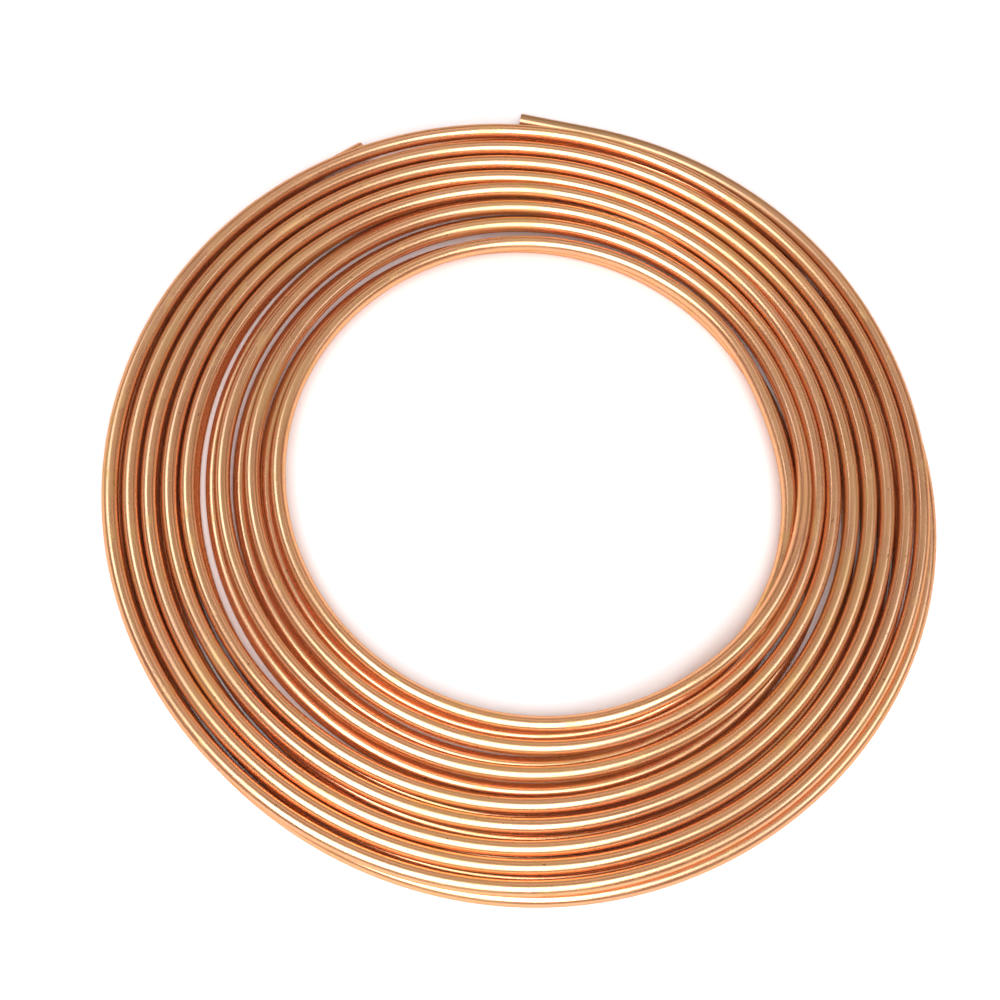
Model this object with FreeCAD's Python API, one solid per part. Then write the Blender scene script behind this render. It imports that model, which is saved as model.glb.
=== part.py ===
import FreeCAD, Part
import math
import os

# Coil of soft copper tube for an immersion wort chiller, lying flat in two
# layers.  The tube starts at the outside of the upper layer, winds clockwise
# (seen from above) to the middle, dives to the lower layer and winds out again.
# It is one tube, cut face to face into a sub-part for each turn.
# Origin: middle of the footprint, on the floor.  Z is up.  Units: millimetres.

# --- driving dimensions -------------------------------------------------------
TUBE_OD = 9.525                 # 3/8 inch tube
TUBE_WALL = 0.8
LAYER_GAP = 0.12                # air between the two layers
UPPER_TIP_STRAIGHT = 48.5       # straight run left at the upper end of the tube
LOWER_TIP_STRAIGHT = 43.0

TUBE_R = TUBE_OD / 2
BORE_R = TUBE_R - TUBE_WALL
LOWER_Z = TUBE_R                # the lower layer lies on the floor
UPPER_Z = LOWER_Z + TUBE_OD + LAYER_GAP

# The winding is counted in turns from the upper tip.
START_ANGLE = math.radians(106.4)
UPPER_START = 0.03              # the coil bends from here; the tip before it is straight
CROSSOVER = (8.12, 8.26)        # the radius passes from the upper to the lower formula
DIVE = (8.30, 8.47)             # the tube drops from the upper to the lower layer

# The tube is cut into sub-parts at whole steps of a sixteenth of a turn.
STEPS_PER_TURN = 16
STEP = 1 / STEPS_PER_TURN
TIP_STEPS = 4                   # the upper tip, up to where it has climbed to its layer
CROSSOVER_STEPS = (130, 138)
ALL_STEPS = 254
UPPER_TURNS = 8
LOWER_TURNS = 7
LOWER_END = UPPER_START + ALL_STEPS * STEP

# Radius of the upper layer: even turns that are pushed off centre, then inner
# turns that have sprung loose and drift towards the upper right.
UPPER_RADIUS = 250.93
UPPER_PITCH = 11.22
UPPER_SHIFT = (-4.94, -0.75)    # how far the turns sit off centre
UPPER_OVAL = (0.36, -1.36)      # how far they are out of round
UPPER_LOOSE = (4.5, 7.4)        # the turns between which they loosen
UPPER_LOOSE_PITCH = 0.90
UPPER_LOOSE_SHIFT = (-3.02, 2.52)
UPPER_SPRUNG = (5.25, 0.15, 5.4)   # turn, width and depth of the wide gap
# Bends that the upper layer was left with: turn, width, how far outwards.
UPPER_BENDS = (
    (0.07, 0.06, 3.6),          # the tip stands off the coil
    (1.05, 0.21, 1.56),
    (2.58, 0.15, 1.43),
    (4.78, 0.19, 1.70),
    (5.85, 0.50, 2.44),
    (6.00, 0.20, 2.69),
    (6.93, 0.19, 3.19),
    (7.45, 0.50, 0.54),
)

# Radius of the lower layer, counted back from the lower tip.  Its inner turns have
# sprung loose too.
LOWER_RADIUS = 249.63
LOWER_PITCH = 10.72
LOWER_SHIFT = (2.68, 0.76)
LOWER_OVAL = (-0.30, 0.11)
LOWER_LOOSE_FROM = 4.3
LOWER_LOOSE_PITCH = 2.0
LOWER_LOOSE_SHIFT = (0.49, 0.98)
LOWER_SPRUNG = (9.305, 0.063, 10.64)   # the turn below passes round the dive here
LOWER_FLARE = (0.12, 1.62)      # width in turns, extra radius at the tip
# Bends of the lower layer, as above.
LOWER_BENDS = (
    (8.308, 0.165, 8.05),       # it lands beside the turn that it dives past
    (8.70, 0.40, 3.79),
    (9.89, 0.60, -4.38),
    (15.27, 0.105, 6.5),        # it comes out past the upper layer's edge
)

# Height: the first stretch droops to the floor, one turn rides up a little, and the
# last upper turn but one climbs over the end of its own layer where that dives.
DROOP = (0.03, 0.18)
RIDE_UP = (5.07, 0.15, 3.0)     # turn, half length and height
CLIMB = (7.18, 7.33)
CLIMB_DOWN = (7.37, 7.52)
CLIMB_HEIGHT = 9.7

# --- the winding ----------------------------------------------------------------


def smooth(x):
    """0 below 0, 1 above 1, and level at both ends."""
    x = min(1.0, max(0.0, x))
    return x * x * x * (10 - 15 * x + 6 * x * x)


def passed(turn, stretch):
    """How much of a stretch lies behind, from 0 to 1, with level ends."""
    return smooth((turn - stretch[0]) / (stretch[1] - stretch[0]))


def bell(x):
    return math.exp(-x * x)


def angle_at(turn):
    return START_ANGLE - 2 * math.pi * turn


def off_centre(turn, shift, oval=(0, 0)):
    a = -angle_at(turn)
    return (shift[0] * math.cos(a) + shift[1] * math.sin(a)
            + oval[0] * math.cos(2 * a) + oval[1] * math.sin(2 * a))


def past(turn, start, softness):
    """Turns past a start, with a rounded beginning."""
    return softness * math.log1p(math.exp((turn - start) / softness))


def bent(turn, bends):
    """How far a list of bends pushes the tube outwards."""
    return sum(outwards * bell((turn - at) / width) for at, width, outwards in bends)


def sprung(turn, at, width, depth):
    """A step inwards or outwards of the radius, from none before it to depth after it."""
    return depth * (1 + math.tanh((turn - at) / width)) / 2


def upper_radius(turn):
    loose = past(turn, UPPER_LOOSE[0], 0.10) - past(turn, UPPER_LOOSE[1], 0.10)
    r = UPPER_RADIUS - UPPER_PITCH * turn + off_centre(turn, UPPER_SHIFT, UPPER_OVAL)
    r -= loose * (UPPER_LOOSE_PITCH + off_centre(turn, UPPER_LOOSE_SHIFT))
    return r - sprung(turn, *UPPER_SPRUNG) + bent(turn, UPPER_BENDS)


def lower_radius(turn):
    back = LOWER_END - turn
    loose = past(back, LOWER_LOOSE_FROM, 0.30)
    r = LOWER_RADIUS - LOWER_PITCH * back + off_centre(turn, LOWER_SHIFT, LOWER_OVAL)
    r -= loose * (LOWER_LOOSE_PITCH + off_centre(turn, LOWER_LOOSE_SHIFT))
    r -= LOWER_SPRUNG[2] - sprung(turn, *LOWER_SPRUNG)
    r += LOWER_FLARE[1] * bell(back / LOWER_FLARE[0])
    return r + bent(turn, LOWER_BENDS)


def radius_at(turn):
    if turn <= CROSSOVER[0]:
        return upper_radius(turn)
    if turn >= CROSSOVER[1]:
        return lower_radius(turn)
    share = passed(turn, CROSSOVER)
    return (1 - share) * upper_radius(turn) + share * lower_radius(turn)


def height_at(turn):
    layer = UPPER_Z - LOWER_Z
    at, half, height = RIDE_UP
    ride = height * smooth(1.4 - abs(turn - at) / half * 1.4)
    climb = CLIMB_HEIGHT * (passed(turn, CLIMB) - passed(turn, CLIMB_DOWN))
    return LOWER_Z + layer * (passed(turn, DROOP) - passed(turn, DIVE)) + ride + climb


def winding_point(turn):
    a, r = angle_at(turn), radius_at(turn)
    return (r * math.cos(a), r * math.sin(a), height_at(turn))


# --- tube -----------------------------------------------------------------------

def vector_at(turn):
    return FreeCAD.Vector(*winding_point(turn))


def direction_at(turn):
    """Unit vector along the tube, from the upper tip towards the lower tip."""
    e = 1e-5
    return (vector_at(turn + e) - vector_at(turn - e)).normalize()


def tangent_arc(start, direction, end):
    """The arc, or the straight run, that leaves start along direction and reaches end."""
    chord = end - start
    across = chord - direction * direction.dot(chord)
    if across.Length < 1e-6:
        return Part.LineSegment(start, end).toShape()
    radius = chord.dot(chord) / (2 * across.Length)
    centre = start + across.normalize() * radius
    middle = centre + (start + chord * 0.5 - centre).normalize() * radius
    return Part.Arc(start, middle, end).toShape()


def two_arcs(start, start_direction, end, end_direction):
    """Two arcs from start to end, tangent to each other and to both directions."""
    v = end - start
    a = 2 * (1 - start_direction.dot(end_direction))
    b = 2 * v.dot(start_direction + end_direction)
    c = -v.dot(v)
    reach = 2 * -c / (b + math.sqrt(b * b - 4 * a * c))
    from_start = start + start_direction * reach
    from_end = end - end_direction * reach
    joint = (from_start + from_end) * 0.5
    joint_direction = (from_end - from_start).normalize()
    return [tangent_arc(start, start_direction, joint), tangent_arc(joint, joint_direction, end)]


def run_edges(first, last):
    """The middle line of the winding from one step to another."""
    edges = []
    for step in range(first, last):
        a = UPPER_START + step * STEP
        b = a + STEP
        edges += two_arcs(vector_at(a), direction_at(a), vector_at(b), direction_at(b))
    return edges


def upper_straight():
    """The straight run from the upper tip to the winding."""
    end = vector_at(UPPER_START)
    tip = end - direction_at(UPPER_START) * UPPER_TIP_STRAIGHT
    return Part.LineSegment(tip, end).toShape()


def lower_straight():
    """The straight run from the winding to the lower tip."""
    start = vector_at(LOWER_END)
    tip = start + direction_at(LOWER_END) * LOWER_TIP_STRAIGHT
    return Part.LineSegment(start, tip).toShape()


def tube(edges):
    """A tube with open, square ends along edges that run on from one another."""
    start = edges[0].valueAt(edges[0].FirstParameter)
    direction = edges[0].tangentAt(edges[0].FirstParameter)
    outside = Part.Wire(Part.Circle(start, direction, TUBE_R).toShape())
    bore = Part.Wire(Part.Circle(start, direction, BORE_R).toShape())
    ring = Part.Face(outside).cut(Part.Face(bore)).Faces[0]
    return Part.Wire(edges).makePipe(ring)


# --- sub-parts ------------------------------------------------------------------


def sections():
    """Each sub-part's name and middle line, from the upper tip to the lower tip."""
    named = [("upper_tip", [upper_straight()] + run_edges(0, TIP_STEPS))]
    step = TIP_STEPS
    for turn in range(1, UPPER_TURNS + 1):
        last = min(step + STEPS_PER_TURN, CROSSOVER_STEPS[0])
        named.append((f"upper_turn_{turn}", run_edges(step, last)))
        step = last
    named.append(("crossover", run_edges(*CROSSOVER_STEPS)))
    step = CROSSOVER_STEPS[1]
    for turn in range(1, LOWER_TURNS + 1):
        named.append((f"lower_turn_{turn}", run_edges(step, step + STEPS_PER_TURN)))
        step += STEPS_PER_TURN
    named.append(("lower_tip", run_edges(step, ALL_STEPS) + [lower_straight()]))
    return named


def check_volume(name, solid, edges):
    length = sum(edge.Length for edge in edges)
    expected = math.pi * (TUBE_R ** 2 - BORE_R ** 2) * length
    if not solid.isValid() or abs(solid.Volume / expected - 1) > 0.001:
        raise ValueError(f"{name}: {solid.Volume:.0f} mm3 where {expected:.0f} is expected")
    return length


def main():
    os.makedirs("parts", exist_ok=True)
    solids = {}
    total = 0.0
    for name, edges in sections():
        solids[name] = tube(edges)
        total += check_volume(name, solids[name], edges)
    box = Part.Compound(list(solids.values())).optimalBoundingBox()
    to_middle = FreeCAD.Vector(-box.Center.x, -box.Center.y, -box.ZMin)
    for name, solid in solids.items():
        solid.translate(to_middle)
        solid.exportStep(f"parts/{name}.step")
    print(f"{len(solids)} sub-parts, {total / 1000:.2f} m of tube")
    print(f"size {box.XLength:.1f} x {box.YLength:.1f} x {box.ZLength:.1f} mm")
    print(f"moved by {to_middle.x:.3f}, {to_middle.y:.3f}, {to_middle.z:.4f} mm")
    tips = (("upper tip", UPPER_START, -1, UPPER_TIP_STRAIGHT),
            ("lower tip", LOWER_END, 1, LOWER_TIP_STRAIGHT))
    for name, at, sign, straight in tips:
        axis = direction_at(at) * sign
        middle = vector_at(at) + axis * (straight / 2) + to_middle
        print(f"{name}: middle {middle.x:.4f} {middle.y:.4f} {middle.z:.4f}")
        print(f"{name}: outward axis {axis.x:.6f} {axis.y:.6f} {axis.z:.6f}")


main()
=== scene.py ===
import math

import bpy
import numpy as np
from mathutils import Matrix, Vector


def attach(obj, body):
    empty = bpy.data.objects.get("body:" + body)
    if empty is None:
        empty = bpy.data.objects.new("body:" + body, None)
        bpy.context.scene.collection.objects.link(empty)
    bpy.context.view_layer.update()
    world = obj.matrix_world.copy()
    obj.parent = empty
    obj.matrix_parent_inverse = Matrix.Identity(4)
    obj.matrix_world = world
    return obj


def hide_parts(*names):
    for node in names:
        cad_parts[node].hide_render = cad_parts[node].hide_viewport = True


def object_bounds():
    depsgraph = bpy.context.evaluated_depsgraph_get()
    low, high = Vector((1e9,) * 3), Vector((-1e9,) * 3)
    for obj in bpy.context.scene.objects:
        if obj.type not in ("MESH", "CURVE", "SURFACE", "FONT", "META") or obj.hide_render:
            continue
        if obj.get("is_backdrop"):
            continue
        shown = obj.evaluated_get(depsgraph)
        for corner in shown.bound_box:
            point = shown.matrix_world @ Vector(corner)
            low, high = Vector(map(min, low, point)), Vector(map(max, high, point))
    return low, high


# Coil of soft copper tube for an immersion wort chiller, lying flat in two
# layers on a pale floor.  Each CAD sub-part gets one piece of tube here, on the
# same winding.  Units: metres.  Z is up.

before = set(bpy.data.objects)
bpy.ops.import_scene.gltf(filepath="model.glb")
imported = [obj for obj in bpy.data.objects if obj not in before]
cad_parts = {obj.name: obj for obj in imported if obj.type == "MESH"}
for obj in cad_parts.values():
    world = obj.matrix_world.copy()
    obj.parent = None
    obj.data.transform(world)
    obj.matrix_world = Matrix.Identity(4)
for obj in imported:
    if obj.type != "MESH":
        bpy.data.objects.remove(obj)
CAD_LOW, CAD_HIGH = (list(corner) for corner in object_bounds())

# --- tube and winding, as in the CAD ----------------------------------------------

TUBE_OD = 0.009525              # 3/8 inch tube
TUBE_WALL = 0.0008
LAYER_GAP = 0.00012             # air between the two layers
UPPER_TIP_STRAIGHT = 0.0485     # straight run left at the upper end of the tube
LOWER_TIP_STRAIGHT = 0.043

TUBE_R = TUBE_OD / 2
BORE_R = TUBE_R - TUBE_WALL
LOWER_Z = TUBE_R                # the lower layer lies on the floor
UPPER_Z = LOWER_Z + TUBE_OD + LAYER_GAP

# The winding is counted in turns from the upper tip.
START_ANGLE = math.radians(106.4)
UPPER_START = 0.03              # the coil bends from here; the tip before it is straight
CROSSOVER = (8.12, 8.26)        # the radius passes from the upper to the lower formula
DIVE = (8.30, 8.47)             # the tube drops from the upper to the lower layer

# The tube is cut into pieces at whole steps of a sixteenth of a turn.
STEPS_PER_TURN = 16
STEP = 1 / STEPS_PER_TURN
TIP_STEPS = 4                   # the upper tip, up to where it has climbed to its layer
CROSSOVER_STEPS = (130, 138)
ALL_STEPS = 254
UPPER_TURNS = 8
LOWER_TURNS = 7
LOWER_END = UPPER_START + ALL_STEPS * STEP

# Radius of the upper layer: even turns that are pushed off centre, then inner
# turns that have sprung loose and drift towards the upper right.
UPPER_RADIUS = 0.25093
UPPER_PITCH = 0.01122
UPPER_SHIFT = (-0.00494, -0.00075)   # how far the turns sit off centre
UPPER_OVAL = (0.00036, -0.00136)     # how far they are out of round
UPPER_LOOSE = (4.5, 7.4)             # the turns between which they loosen
UPPER_LOOSE_SOFTNESS = 0.10
UPPER_LOOSE_PITCH = 0.00090
UPPER_LOOSE_SHIFT = (-0.00302, 0.00252)
UPPER_SPRUNG = (5.25, 0.15, 0.0054)  # turn, width and depth of the wide gap
# Bends that the upper layer was left with: turn, width, how far outwards.
UPPER_BENDS = (
    (0.07, 0.06, 0.0036),       # the tip stands off the coil
    (1.05, 0.21, 0.00156),
    (2.58, 0.15, 0.00143),
    (4.78, 0.19, 0.00170),
    (5.85, 0.50, 0.00244),
    (6.00, 0.20, 0.00269),
    (6.93, 0.19, 0.00319),
    (7.45, 0.50, 0.00054),
)

# Radius of the lower layer, counted back from the lower tip.  Its inner turns have
# sprung loose too.
LOWER_RADIUS = 0.24963
LOWER_PITCH = 0.01072
LOWER_SHIFT = (0.00268, 0.00076)
LOWER_OVAL = (-0.00030, 0.00011)
LOWER_LOOSE_FROM = 4.3
LOWER_LOOSE_SOFTNESS = 0.30
LOWER_LOOSE_PITCH = 0.0020
LOWER_LOOSE_SHIFT = (0.00049, 0.00098)
LOWER_SPRUNG = (9.305, 0.063, 0.01064)   # the turn below passes round the dive here
LOWER_FLARE = (0.12, 0.00162)   # width in turns, extra radius at the tip
# Bends of the lower layer, as above.
LOWER_BENDS = (
    (8.308, 0.165, 0.00805),    # it lands beside the turn that it dives past
    (8.70, 0.40, 0.00379),
    (9.89, 0.60, -0.00438),
    (15.27, 0.105, 0.0065),     # it comes out past the upper layer's edge
)

# Height: the first stretch droops to the floor, one turn rides up a little, and the
# last upper turn but one climbs over the end of its own layer where that dives.
DROOP = (0.03, 0.18)
RIDE_UP = (5.07, 0.15, 0.0030)  # turn, half length and height
RIDE_SLOPE = 1.4                # above 1, the ride has a level top
CLIMB = (7.18, 7.33)
CLIMB_DOWN = (7.37, 7.52)
CLIMB_HEIGHT = 0.0097
TURN_STEP = 1e-5                # between the points that give a direction

# --- mesh --------------------------------------------------------------------------

AROUND = 36                     # faces around the tube
RINGS_PER_STEP = 12             # rings along each sixteenth of a turn
STRAIGHT_RINGS = 12             # from a tip's lip to where its winding begins
OUTSIDE, BORE, CUT = 0, 1, 2    # material slots of each piece
FAR_FROM_ENDS = 1.0             # any distance with no lip
# The cutter's wheel rolls a lip at a cut end: distance from the end, and how far the
# outside and the bore have moved in towards the middle.
CUT_LIP = (
    (0.0, 0.00042, 0.00030),
    (0.00012, 0.00024, 0.00026),
    (0.00035, 0.00010, 0.00018),
    (0.0008, 0.00003, 0.00007),
    (0.0016, 0.0, 0.0),
)

# --- the winding -------------------------------------------------------------------


def smooth(x):
    """0 below 0, 1 above 1, and level at both ends."""
    x = min(1.0, max(0.0, x))
    return x * x * x * (10 - 15 * x + 6 * x * x)


def passed(turn, stretch):
    """How much of a stretch lies behind, from 0 to 1, with level ends."""
    return smooth((turn - stretch[0]) / (stretch[1] - stretch[0]))


def bell(x):
    return math.exp(-x * x)


def angle_at(turn):
    return START_ANGLE - 2 * math.pi * turn


def off_centre(turn, shift, oval=(0, 0)):
    """Extra radius of turns that sit off centre and are out of round."""
    a = -angle_at(turn)
    return (shift[0] * math.cos(a) + shift[1] * math.sin(a)
            + oval[0] * math.cos(2 * a) + oval[1] * math.sin(2 * a))


def past(turn, start, softness):
    """Turns past a start, with a rounded beginning."""
    return softness * math.log1p(math.exp((turn - start) / softness))


def bent(turn, bends):
    """How far a list of bends pushes the tube outwards."""
    return sum(outwards * bell((turn - at) / width) for at, width, outwards in bends)


def sprung(turn, at, width, depth):
    """A step inwards or outwards of the radius, from none before it to depth after it."""
    return depth * (1 + math.tanh((turn - at) / width)) / 2


def upper_radius(turn):
    loose = past(turn, UPPER_LOOSE[0], UPPER_LOOSE_SOFTNESS)
    loose -= past(turn, UPPER_LOOSE[1], UPPER_LOOSE_SOFTNESS)
    r = UPPER_RADIUS - UPPER_PITCH * turn + off_centre(turn, UPPER_SHIFT, UPPER_OVAL)
    r -= loose * (UPPER_LOOSE_PITCH + off_centre(turn, UPPER_LOOSE_SHIFT))
    return r - sprung(turn, *UPPER_SPRUNG) + bent(turn, UPPER_BENDS)


def lower_radius(turn):
    back = LOWER_END - turn
    loose = past(back, LOWER_LOOSE_FROM, LOWER_LOOSE_SOFTNESS)
    r = LOWER_RADIUS - LOWER_PITCH * back + off_centre(turn, LOWER_SHIFT, LOWER_OVAL)
    r -= loose * (LOWER_LOOSE_PITCH + off_centre(turn, LOWER_LOOSE_SHIFT))
    r -= LOWER_SPRUNG[2] - sprung(turn, *LOWER_SPRUNG)
    r += LOWER_FLARE[1] * bell(back / LOWER_FLARE[0])
    return r + bent(turn, LOWER_BENDS)


def radius_at(turn):
    if turn <= CROSSOVER[0]:
        return upper_radius(turn)
    if turn >= CROSSOVER[1]:
        return lower_radius(turn)
    share = passed(turn, CROSSOVER)
    return (1 - share) * upper_radius(turn) + share * lower_radius(turn)


def height_at(turn):
    layer = UPPER_Z - LOWER_Z
    at, half, height = RIDE_UP
    ride = height * smooth(RIDE_SLOPE - abs(turn - at) / half * RIDE_SLOPE)
    climb = CLIMB_HEIGHT * (passed(turn, CLIMB) - passed(turn, CLIMB_DOWN))
    return LOWER_Z + layer * (passed(turn, DROOP) - passed(turn, DIVE)) + ride + climb


def winding_point(turn):
    a, r = angle_at(turn), radius_at(turn)
    return np.array((r * math.cos(a), r * math.sin(a), height_at(turn)))


def direction_at(turn):
    """Unit vector along the tube, from the upper tip towards the lower tip."""
    along = winding_point(turn + TURN_STEP) - winding_point(turn - TURN_STEP)
    return along / np.linalg.norm(along)


# --- stations: where the rings of each piece go ------------------------------------


def turn_at(step):
    return UPPER_START + step * STEP


def winding_stations(first, last):
    """(point, direction) of each ring between two steps of the winding."""
    turns = np.linspace(turn_at(first), turn_at(last), (last - first) * RINGS_PER_STEP + 1)
    return [(winding_point(t), direction_at(t)) for t in turns]


def straight_stations(turn, outwards, straight):
    """Rings of the straight run that ends at a tip, from the tip to the winding."""
    point, direction = winding_point(turn), direction_at(turn)
    lip = [at for at, _, _ in CUT_LIP]
    rest = list(np.linspace(lip[-1], straight, STRAIGHT_RINGS))[1:-1]
    return [(point + outwards * direction * (straight - at), direction) for at in lip + rest]


def piece_stations():
    """Each CAD node's name and the stations of its piece, from the upper tip on."""
    upper = straight_stations(UPPER_START, -1, UPPER_TIP_STRAIGHT)
    lower = straight_stations(LOWER_END, 1, LOWER_TIP_STRAIGHT)[::-1]
    named = [("upper_tip", upper + winding_stations(0, TIP_STEPS))]
    step = TIP_STEPS
    for turn in range(1, UPPER_TURNS + 1):
        last = min(step + STEPS_PER_TURN, CROSSOVER_STEPS[0])
        named.append((f"upper_turn_{turn}", winding_stations(step, last)))
        step = last
    named.append(("crossover", winding_stations(*CROSSOVER_STEPS)))
    step = CROSSOVER_STEPS[1]
    for turn in range(1, LOWER_TURNS + 1):
        named.append((f"lower_turn_{turn}", winding_stations(step, step + STEPS_PER_TURN)))
        step += STEPS_PER_TURN
    named.append(("lower_tip", winding_stations(step, ALL_STEPS) + lower))
    return named


def distances(named):
    """Each piece's station distances from the upper tip, and the whole length."""
    result, travelled = [], 0.0
    for _, stations in named:
        points = np.array([s[0] for s in stations])
        steps = np.linalg.norm(np.diff(points, axis=0), axis=1)
        along = travelled + np.concatenate(((0.0,), np.cumsum(steps)))
        result.append(along)
        travelled = along[-1]
    return result, travelled


named_stations = piece_stations()
station_distances, TUBE_LENGTH = distances(named_stations)

# The winding's own middle is not the middle of its footprint, where the origin is.
# The CAD box reaches TUBE_R past the tube's middle line on every side, so moving the
# middle of the line to the middle of the box puts every piece in its place.
line_points = np.concatenate([[s[0] for s in stations] for _, stations in named_stations])
line_middle = (line_points.max(axis=0) + line_points.min(axis=0)) / 2
cad_middle = (np.array(CAD_LOW) + np.array(CAD_HIGH)) / 2
MOVE = cad_middle - line_middle

# --- meshes ------------------------------------------------------------------------


def ring_axes(direction):
    """Two unit vectors across the tube: outwards from the coil, and up."""
    up = np.array((0.0, 0.0, 1.0)) - direction * direction[2]
    up /= np.linalg.norm(up)
    return np.cross(up, direction), up


def lip_at(from_end):
    """How far the outside and the bore have moved in, at distances from a cut end."""
    at, outside, bore = zip(*CUT_LIP)
    return np.interp(from_end, at, outside), np.interp(from_end, at, bore)


def tube_wall(points, directions, radii):
    """Vertices and outward normals of one wall, ring by ring."""
    turns = np.arange(AROUND) * 2 * math.pi / AROUND
    vertices, normals = [], []
    for point, direction, radius in zip(points, directions, radii):
        out, up = ring_axes(direction)
        radial = np.outer(np.cos(turns), out) + np.outer(np.sin(turns), up)
        vertices.append(point + radial * radius)
        normals.append(radial)
    return np.concatenate(vertices), np.concatenate(normals)


def wall_faces(rings, base, inwards):
    """Quads between rings.  inwards turns them to face the middle line."""
    faces = []
    for ring in range(rings - 1):
        for k in range(AROUND):
            a = base + ring * AROUND + k
            b = base + ring * AROUND + (k + 1) % AROUND
            quad = (a, b, b + AROUND, a + AROUND)
            faces.append(quad[::-1] if inwards else quad)
    return faces


def rim_faces(outside, bore, at_start):
    """The flat ring that closes the wall between the outside and the bore."""
    faces = []
    for k in range(AROUND):
        j = (k + 1) % AROUND
        quad = (outside + k, bore + k, bore + j, outside + j)
        faces.append(quad if at_start else quad[::-1])
    return faces


def wall_radii(name, along):
    """Outside and bore radius at each station, with the rolled lips of the two tips."""
    far = np.full(len(along), FAR_FROM_ENDS)
    from_start = along if name == "upper_tip" else far
    from_end = TUBE_LENGTH - along if name == "lower_tip" else far
    outside_in, bore_in = lip_at(np.minimum(from_start, from_end))
    return TUBE_R - outside_in, BORE_R - bore_in


def set_normals(mesh, faces, wall_normals, rim_count, directions):
    """Smooth walls that run on from one piece to the next, and flat rims."""
    normals = wall_normals[np.array(faces)]
    half = rim_count // 2
    normals[-2 * half:-half] = -directions[0]
    normals[-half:] = directions[-1]
    mesh.normals_split_custom_set(normals.reshape(-1, 3).tolist())


def set_tube_place(mesh, along, radii_of_walls):
    """Where each vertex is on the straightened tube, for patterns that run along it."""
    around = np.arange(AROUND) * 2 * math.pi / AROUND
    place = np.empty((len(radii_of_walls), len(along), AROUND, 3))
    place[..., 0] = along[None, :, None]
    for wall, radii in enumerate(radii_of_walls):
        place[wall, :, :, 1] = radii[:, None] * np.cos(around)
        place[wall, :, :, 2] = radii[:, None] * np.sin(around)
    attribute = mesh.attributes.new("tube_place", "FLOAT_VECTOR", "POINT")
    attribute.data.foreach_set("vector", place.astype(np.float32).ravel())


def tube_mesh(name, stations, along, materials):
    """A closed length of tube.  along is each station's distance from the upper tip."""
    points = [s[0] for s in stations]
    directions = [s[1] for s in stations]
    rings = len(stations)
    outer_radii, bore_radii = wall_radii(name, along)
    outer, outer_normals = tube_wall(points, directions, outer_radii)
    bore, bore_normals = tube_wall(points, directions, bore_radii)

    base = len(outer)
    last = (rings - 1) * AROUND
    walls = wall_faces(rings, 0, False)
    bores = wall_faces(rings, base, True)
    rims = rim_faces(0, base, True) + rim_faces(last, base + last, False)
    vertices = np.concatenate((outer, bore)) + MOVE
    faces = walls + bores + rims
    mesh = bpy.data.meshes.new(name)
    mesh.from_pydata(vertices.tolist(), [], faces)

    slots = np.repeat((OUTSIDE, BORE, CUT), (len(walls), len(bores), len(rims)))
    mesh.polygons.foreach_set("material_index", slots.astype(np.int32))
    mesh.polygons.foreach_set("use_smooth", np.ones(len(faces), bool))
    for material in materials:
        mesh.materials.append(material)
    wall_normals = np.concatenate((outer_normals, -bore_normals))
    set_normals(mesh, faces, wall_normals, len(rims), directions)
    set_tube_place(mesh, along, (outer_radii, bore_radii))
    return mesh


# --- materials ---------------------------------------------------------------------

FRESH_COPPER = (0.93, 0.49, 0.25, 1)
REDDER_COPPER = (0.90, 0.465, 0.255, 1)
TARNISH = (0.80, 0.48, 0.19, 1)
DRAW_LINES = (0.74, 0.36, 0.19, 1)
STAIN = (0.74, 0.44, 0.17, 1)
# Painted shade: the dark brown that the first stretch of tube is mixed towards, standing in
# for the shade on it.
PAINTED_SHADE_COPPER = (0.42, 0.26, 0.14, 1)
SPECK = (0.22, 0.08, 0.03, 1)
COPPER_EDGE_TINT = (0.50, 0.36, 0.27, 1)
COPPER_METALLIC = 0.94
DULL_AND_SHADED_STRETCH = (0.06, 0.34)     # darkened with painted shade and rougher up to the first distance, plain from the second

BORE_BROWN = (0.52, 0.25, 0.13, 1)
BORE_DARK = (0.30, 0.13, 0.07, 1)
CUT_BRIGHT = (0.93, 0.52, 0.33, 1)
CUT_WORN = (0.84, 0.44, 0.26, 1)
FLOOR_PALE = (0.98, 0.90, 0.85, 1)
FLOOR_PALER = (0.99, 0.92, 0.87, 1)


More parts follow.
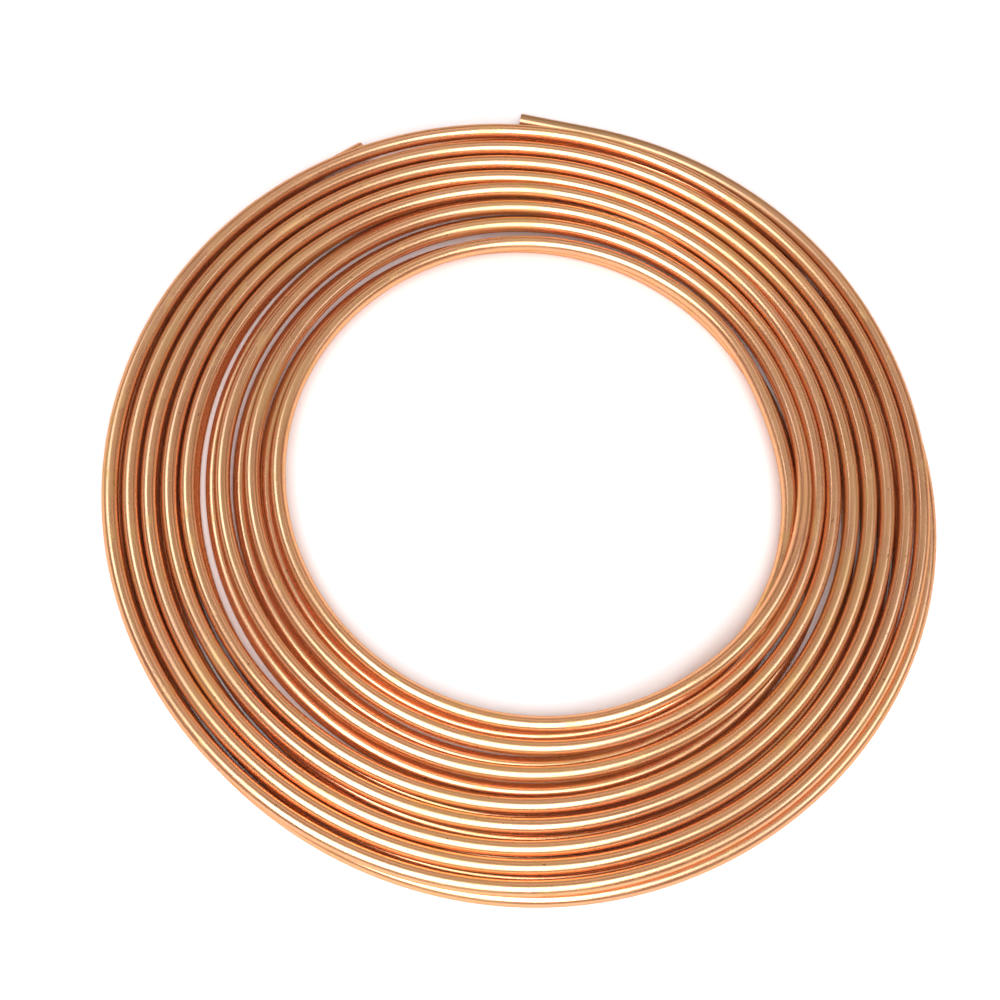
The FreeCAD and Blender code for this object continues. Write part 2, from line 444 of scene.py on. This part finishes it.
class Nodes:
    """Short calls for building one material's nodes."""

    def __init__(self, name):
        self.material = bpy.data.materials.new(name)
        self.material.use_nodes = True
        self.tree = self.material.node_tree
        self.shader = self.tree.nodes["Principled BSDF"]

    def add(self, kind, **settings):
        node = self.tree.nodes.new(kind)
        for key, value in settings.items():
            setattr(node, key, value)
        return node

    def link(self, source, target):
        """Feeds a socket from another socket, or sets it to a number or a colour."""
        if isinstance(source, (int, float, tuple)):
            target.default_value = source
        else:
            self.tree.links.new(source, target)

    def place(self):
        """Where the point is on the straightened tube: along it, and across it."""
        return self.add("ShaderNodeAttribute", attribute_name="tube_place").outputs["Vector"]

    def along(self, place):
        """Distance from the upper tip."""
        node = self.add("ShaderNodeSeparateXYZ")
        self.link(place, node.inputs[0])
        return node.outputs["X"]

    def object_place(self):
        return self.add("ShaderNodeTexCoord").outputs["Object"]

    def scaled(self, vector, scale):
        node = self.add("ShaderNodeVectorMath", operation="MULTIPLY")
        self.link(vector, node.inputs[0])
        node.inputs[1].default_value = scale
        return node.outputs[0]

    def noise(self, vector, scale, detail, roughness):
        """Noise with its own scale, in cells per metre, in each direction."""
        node = self.add("ShaderNodeTexNoise")
        self.link(self.scaled(vector, scale), node.inputs["Vector"])
        node.inputs["Scale"].default_value = 1.0
        node.inputs["Detail"].default_value = detail
        node.inputs["Roughness"].default_value = roughness
        return node.outputs["Fac"]

    def remap(self, value, low, high, to_low=0.0, to_high=1.0):
        """Passes smoothly from to_low to to_high while value goes from low to high."""
        node = self.add("ShaderNodeMapRange", interpolation_type="SMOOTHSTEP")
        self.link(value, node.inputs["Value"])
        node.inputs["From Min"].default_value = low
        node.inputs["From Max"].default_value = high
        node.inputs["To Min"].default_value = to_low
        node.inputs["To Max"].default_value = to_high
        return node.outputs["Result"]

    def maths(self, operation, a, b):
        node = self.add("ShaderNodeMath", operation=operation)
        self.link(a, node.inputs[0])
        self.link(b, node.inputs[1])
        return node.outputs[0]

    def mix(self, share, a, b):
        node = self.add("ShaderNodeMix", data_type="RGBA")
        self.link(share, node.inputs["Factor"])
        self.link(a, node.inputs["A"])
        self.link(b, node.inputs["B"])
        return node.outputs["Result"]

    def bump(self, height, distance, normal=None):
        """distance is how many metres a height of 1 stands proud."""
        node = self.add("ShaderNodeBump")
        node.inputs["Strength"].default_value = 1.0
        node.inputs["Distance"].default_value = distance
        self.link(height, node.inputs["Height"])
        if normal is not None:
            self.link(normal, node.inputs["Normal"])
        return node.outputs["Normal"]


def drawn_copper():
    """Soft drawn copper: fine lines along the tube, tarnish, stains, and a rougher first
    stretch darkened with painted shade.
    """
    n = Nodes("drawn_copper")
    tube, space = n.place(), n.object_place()
    lines = n.noise(tube, scale=(7, 900, 900), detail=3.0, roughness=0.6)
    fine_lines = n.noise(tube, scale=(60, 3500, 3500), detail=2.0, roughness=0.6)
    grain = n.noise(tube, scale=(1800, 1800, 1800), detail=2.0, roughness=0.5)
    clouds = n.noise(space, scale=(16, 16, 30), detail=3.0, roughness=0.55)
    stretches = n.noise(tube, scale=(9, 60, 60), detail=2.0, roughness=0.5)
    stain_noise = n.noise(tube, scale=(48, 110, 110), detail=4.0, roughness=0.6)
    stains = n.remap(stain_noise, 0.56, 0.68)
    speck_noise = n.noise(tube, scale=(330, 520, 520), detail=1.0, roughness=0.5)
    specks = n.remap(speck_noise, 0.76, 0.80)
    dull_and_shaded = n.remap(n.along(tube), *DULL_AND_SHADED_STRETCH, to_low=1.0, to_high=0.0)

    colour = n.mix(n.remap(stretches, 0.35, 0.68), FRESH_COPPER, REDDER_COPPER)
    colour = n.mix(n.remap(clouds, 0.52, 0.74, to_high=0.55), colour, TARNISH)
    colour = n.mix(n.remap(lines, 0.45, 0.75, to_high=0.22), colour, DRAW_LINES)
    colour = n.mix(n.maths("MULTIPLY", stains, 0.55), colour, STAIN)
    # Painted shade: the first stretch of tube is darkened here to stand in for the shade on
    # it; the same mask also makes it rougher.
    colour = n.mix(n.maths("MULTIPLY", dull_and_shaded, 0.70), colour, PAINTED_SHADE_COPPER)
    colour = n.mix(n.maths("MULTIPLY", specks, 0.85), colour, SPECK)
    n.link(colour, n.shader.inputs["Base Color"])

    from_clouds = n.remap(clouds, 0.3, 0.8, to_low=0.20, to_high=0.30)
    from_lines = n.remap(lines, 0.3, 0.8, to_high=0.07)
    roughness = n.maths("ADD", from_clouds, from_lines)
    roughness = n.maths("ADD", roughness, n.maths("MULTIPLY", stains, 0.10))
    roughness = n.maths("ADD", roughness, n.maths("MULTIPLY", dull_and_shaded, 0.10))
    n.link(roughness, n.shader.inputs["Roughness"])
    n.shader.inputs["Metallic"].default_value = COPPER_METALLIC
    n.shader.inputs["Specular Tint"].default_value = COPPER_EDGE_TINT

    normal = n.bump(lines, distance=2.5e-6)
    normal = n.bump(fine_lines, distance=0.6e-6, normal=normal)
    normal = n.bump(grain, distance=1.0e-6, normal=normal)
    n.link(normal, n.shader.inputs["Normal"])
    return n.material


def bore_copper():
    """Inside of the tube: never polished, browner and rougher."""
    n = Nodes("bore_copper")
    tube = n.place()
    lines = n.noise(tube, scale=(10, 800, 800), detail=3.0, roughness=0.6)
    blotches = n.noise(tube, scale=(90, 220, 220), detail=3.0, roughness=0.6)
    colour = n.mix(n.remap(blotches, 0.35, 0.7), BORE_BROWN, BORE_DARK)
    n.link(colour, n.shader.inputs["Base Color"])
    roughness = n.remap(lines, 0.3, 0.8, to_low=0.38, to_high=0.52)
    n.link(roughness, n.shader.inputs["Roughness"])
    n.shader.inputs["Metallic"].default_value = 1.0
    n.link(n.bump(lines, distance=10e-6), n.shader.inputs["Normal"])
    return n.material


def cut_copper():
    """The cut end: bright metal with marks from the cutter's wheel."""
    n = Nodes("cut_copper")
    marks = n.noise(n.place(), scale=(0, 2600, 2600), detail=2.0, roughness=0.6)
    colour = n.mix(n.remap(marks, 0.35, 0.7), CUT_BRIGHT, CUT_WORN)
    n.link(colour, n.shader.inputs["Base Color"])
    roughness = n.remap(marks, 0.3, 0.8, to_low=0.25, to_high=0.40)
    n.link(roughness, n.shader.inputs["Roughness"])
    n.shader.inputs["Metallic"].default_value = 1.0
    n.link(n.bump(marks, distance=10e-6), n.shader.inputs["Normal"])
    return n.material


def floor_paint():
    """Pale matt floor with a faint mottle."""
    n = Nodes("floor_paint")
    mottle = n.noise(n.object_place(), scale=(40, 40, 40), detail=2.0, roughness=0.5)
    n.link(n.mix(mottle, FLOOR_PALE, FLOOR_PALER), n.shader.inputs["Base Color"])
    n.shader.inputs["Roughness"].default_value = 0.75
    n.shader.inputs["Specular IOR Level"].default_value = 0.2
    return n.material


# --- the coil ----------------------------------------------------------------------

tube_materials = (drawn_copper(), bore_copper(), cut_copper())
for (node, stations), along in zip(named_stations, station_distances):
    mesh = tube_mesh(node, stations, along, tube_materials)
    piece = bpy.data.objects.new("copper_" + node, mesh)
    bpy.context.scene.collection.objects.link(piece)
    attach(piece, "root")
    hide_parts(node)

# --- floor, light and camera -------------------------------------------------------

FLOOR_SIZE = 6.0
bpy.ops.mesh.primitive_plane_add(size=FLOOR_SIZE, location=(0, 0, 0))
floor = bpy.context.object
floor.name = "floor"
floor.data.materials.append(floor_paint())
floor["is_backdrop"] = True


def panel(name, location, size, power, colour, aim=(0, 0, 0), spread=math.pi):
    """A soft rectangular lamp that faces a point."""
    light = bpy.data.lights.new(name, "AREA")
    light.shape = "RECTANGLE"
    light.size, light.size_y = size
    light.energy = power
    light.color = colour
    light.spread = spread
    lamp = bpy.data.objects.new(name, light)
    lamp.location = location
    lamp.rotation_euler = (Vector(aim) - Vector(location)).to_track_quat("-Z", "Y").to_euler()
    bpy.context.scene.collection.objects.link(lamp)


panel("key", location=(0.08, -0.95, 1.75), size=(1.65, 1.7), power=51,
      colour=(0.91, 0.97, 1.06))
panel("back", location=(0.0, 1.15, 1.25), size=(1.6, 0.7), power=2.2,
      colour=(1.0, 0.98, 0.95))
# One lamp low on each side, in a narrow beam: it lights that side's outward flanks.
for side in (-1, 1):
    panel("side", location=(side * 0.95, 0.30, 0.75), size=(1.8, 0.8), power=0.95,
          colour=(0.75, 0.95, 1.18), aim=(side * 0.45, 0.22, 0), spread=math.radians(45))

# Colour of the surroundings against the height (sine of the elevation) looked at.
SURROUNDINGS = (
    (0.00, (0.76, 0.75, 0.74, 1)),      # pale walls
    (0.24, (0.70, 0.68, 0.66, 1)),
    (0.38, (0.20, 0.100, 0.045, 1)),    # dim and warm above them
    (0.70, (0.22, 0.110, 0.050, 1)),
    (0.86, (0.30, 0.25, 0.21, 1)),
    (1.00, (0.41, 0.46, 0.45, 1)),      # cool soft light overhead
)


def studio_world():
    """Soft surroundings: pale walls, a dim warm ring above them, cool light overhead."""
    world = bpy.data.worlds.new("studio")
    world.use_nodes = True
    tree = world.node_tree
    direction = tree.nodes.new("ShaderNodeTexCoord")
    split = tree.nodes.new("ShaderNodeSeparateXYZ")
    ramp = tree.nodes.new("ShaderNodeValToRGB")
    stops = ramp.color_ramp.elements
    stops[0].color = SURROUNDINGS[0][1]
    stops[1].color = SURROUNDINGS[-1][1]
    for height, colour in SURROUNDINGS[1:-1]:
        stops.new(height).color = colour
    tree.links.new(direction.outputs["Generated"], split.inputs[0])
    tree.links.new(split.outputs["Z"], ramp.inputs["Fac"])
    tree.links.new(ramp.outputs["Color"], tree.nodes["Background"].inputs["Color"])
    bpy.context.scene.world = world


studio_world()

# The camera looks down steeply from the near side and is tilted clockwise.
# It aims at a point of the winding, so it follows when the footprint's middle moves.
AIM_FROM_WINDING = (-0.01326, -0.01556)
CAMERA_AIM = Vector((AIM_FROM_WINDING[0] + MOVE[0], AIM_FROM_WINDING[1] + MOVE[1], 0.0))
CAMERA_ELEVATION = math.radians(69.62)
CAMERA_ROLL = math.radians(16.56)
CAMERA_DISTANCE = 0.88375
CAMERA_LENS = 52.09
CAMERA_SENSOR = 36.0


def place_camera():
    """The camera, and the directions that are right and up in its picture."""
    forward = Vector((0, math.cos(CAMERA_ELEVATION), -math.sin(CAMERA_ELEVATION)))
    level = Vector((1, 0, 0))
    raised = level.cross(forward)
    right = level * math.cos(CAMERA_ROLL) + raised * math.sin(CAMERA_ROLL)
    up = raised * math.cos(CAMERA_ROLL) - level * math.sin(CAMERA_ROLL)
    data = bpy.data.cameras.new("camera")
    data.lens = CAMERA_LENS
    data.sensor_width = CAMERA_SENSOR
    camera = bpy.data.objects.new("camera", data)
    turned = Matrix((right, up, -forward)).transposed().to_4x4()
    camera.matrix_world = Matrix.Translation(CAMERA_AIM - forward * CAMERA_DISTANCE) @ turned
    bpy.context.scene.collection.objects.link(camera)
    bpy.context.scene.camera = camera


place_camera()
bpy.context.scene.view_settings.view_transform = "Standard"
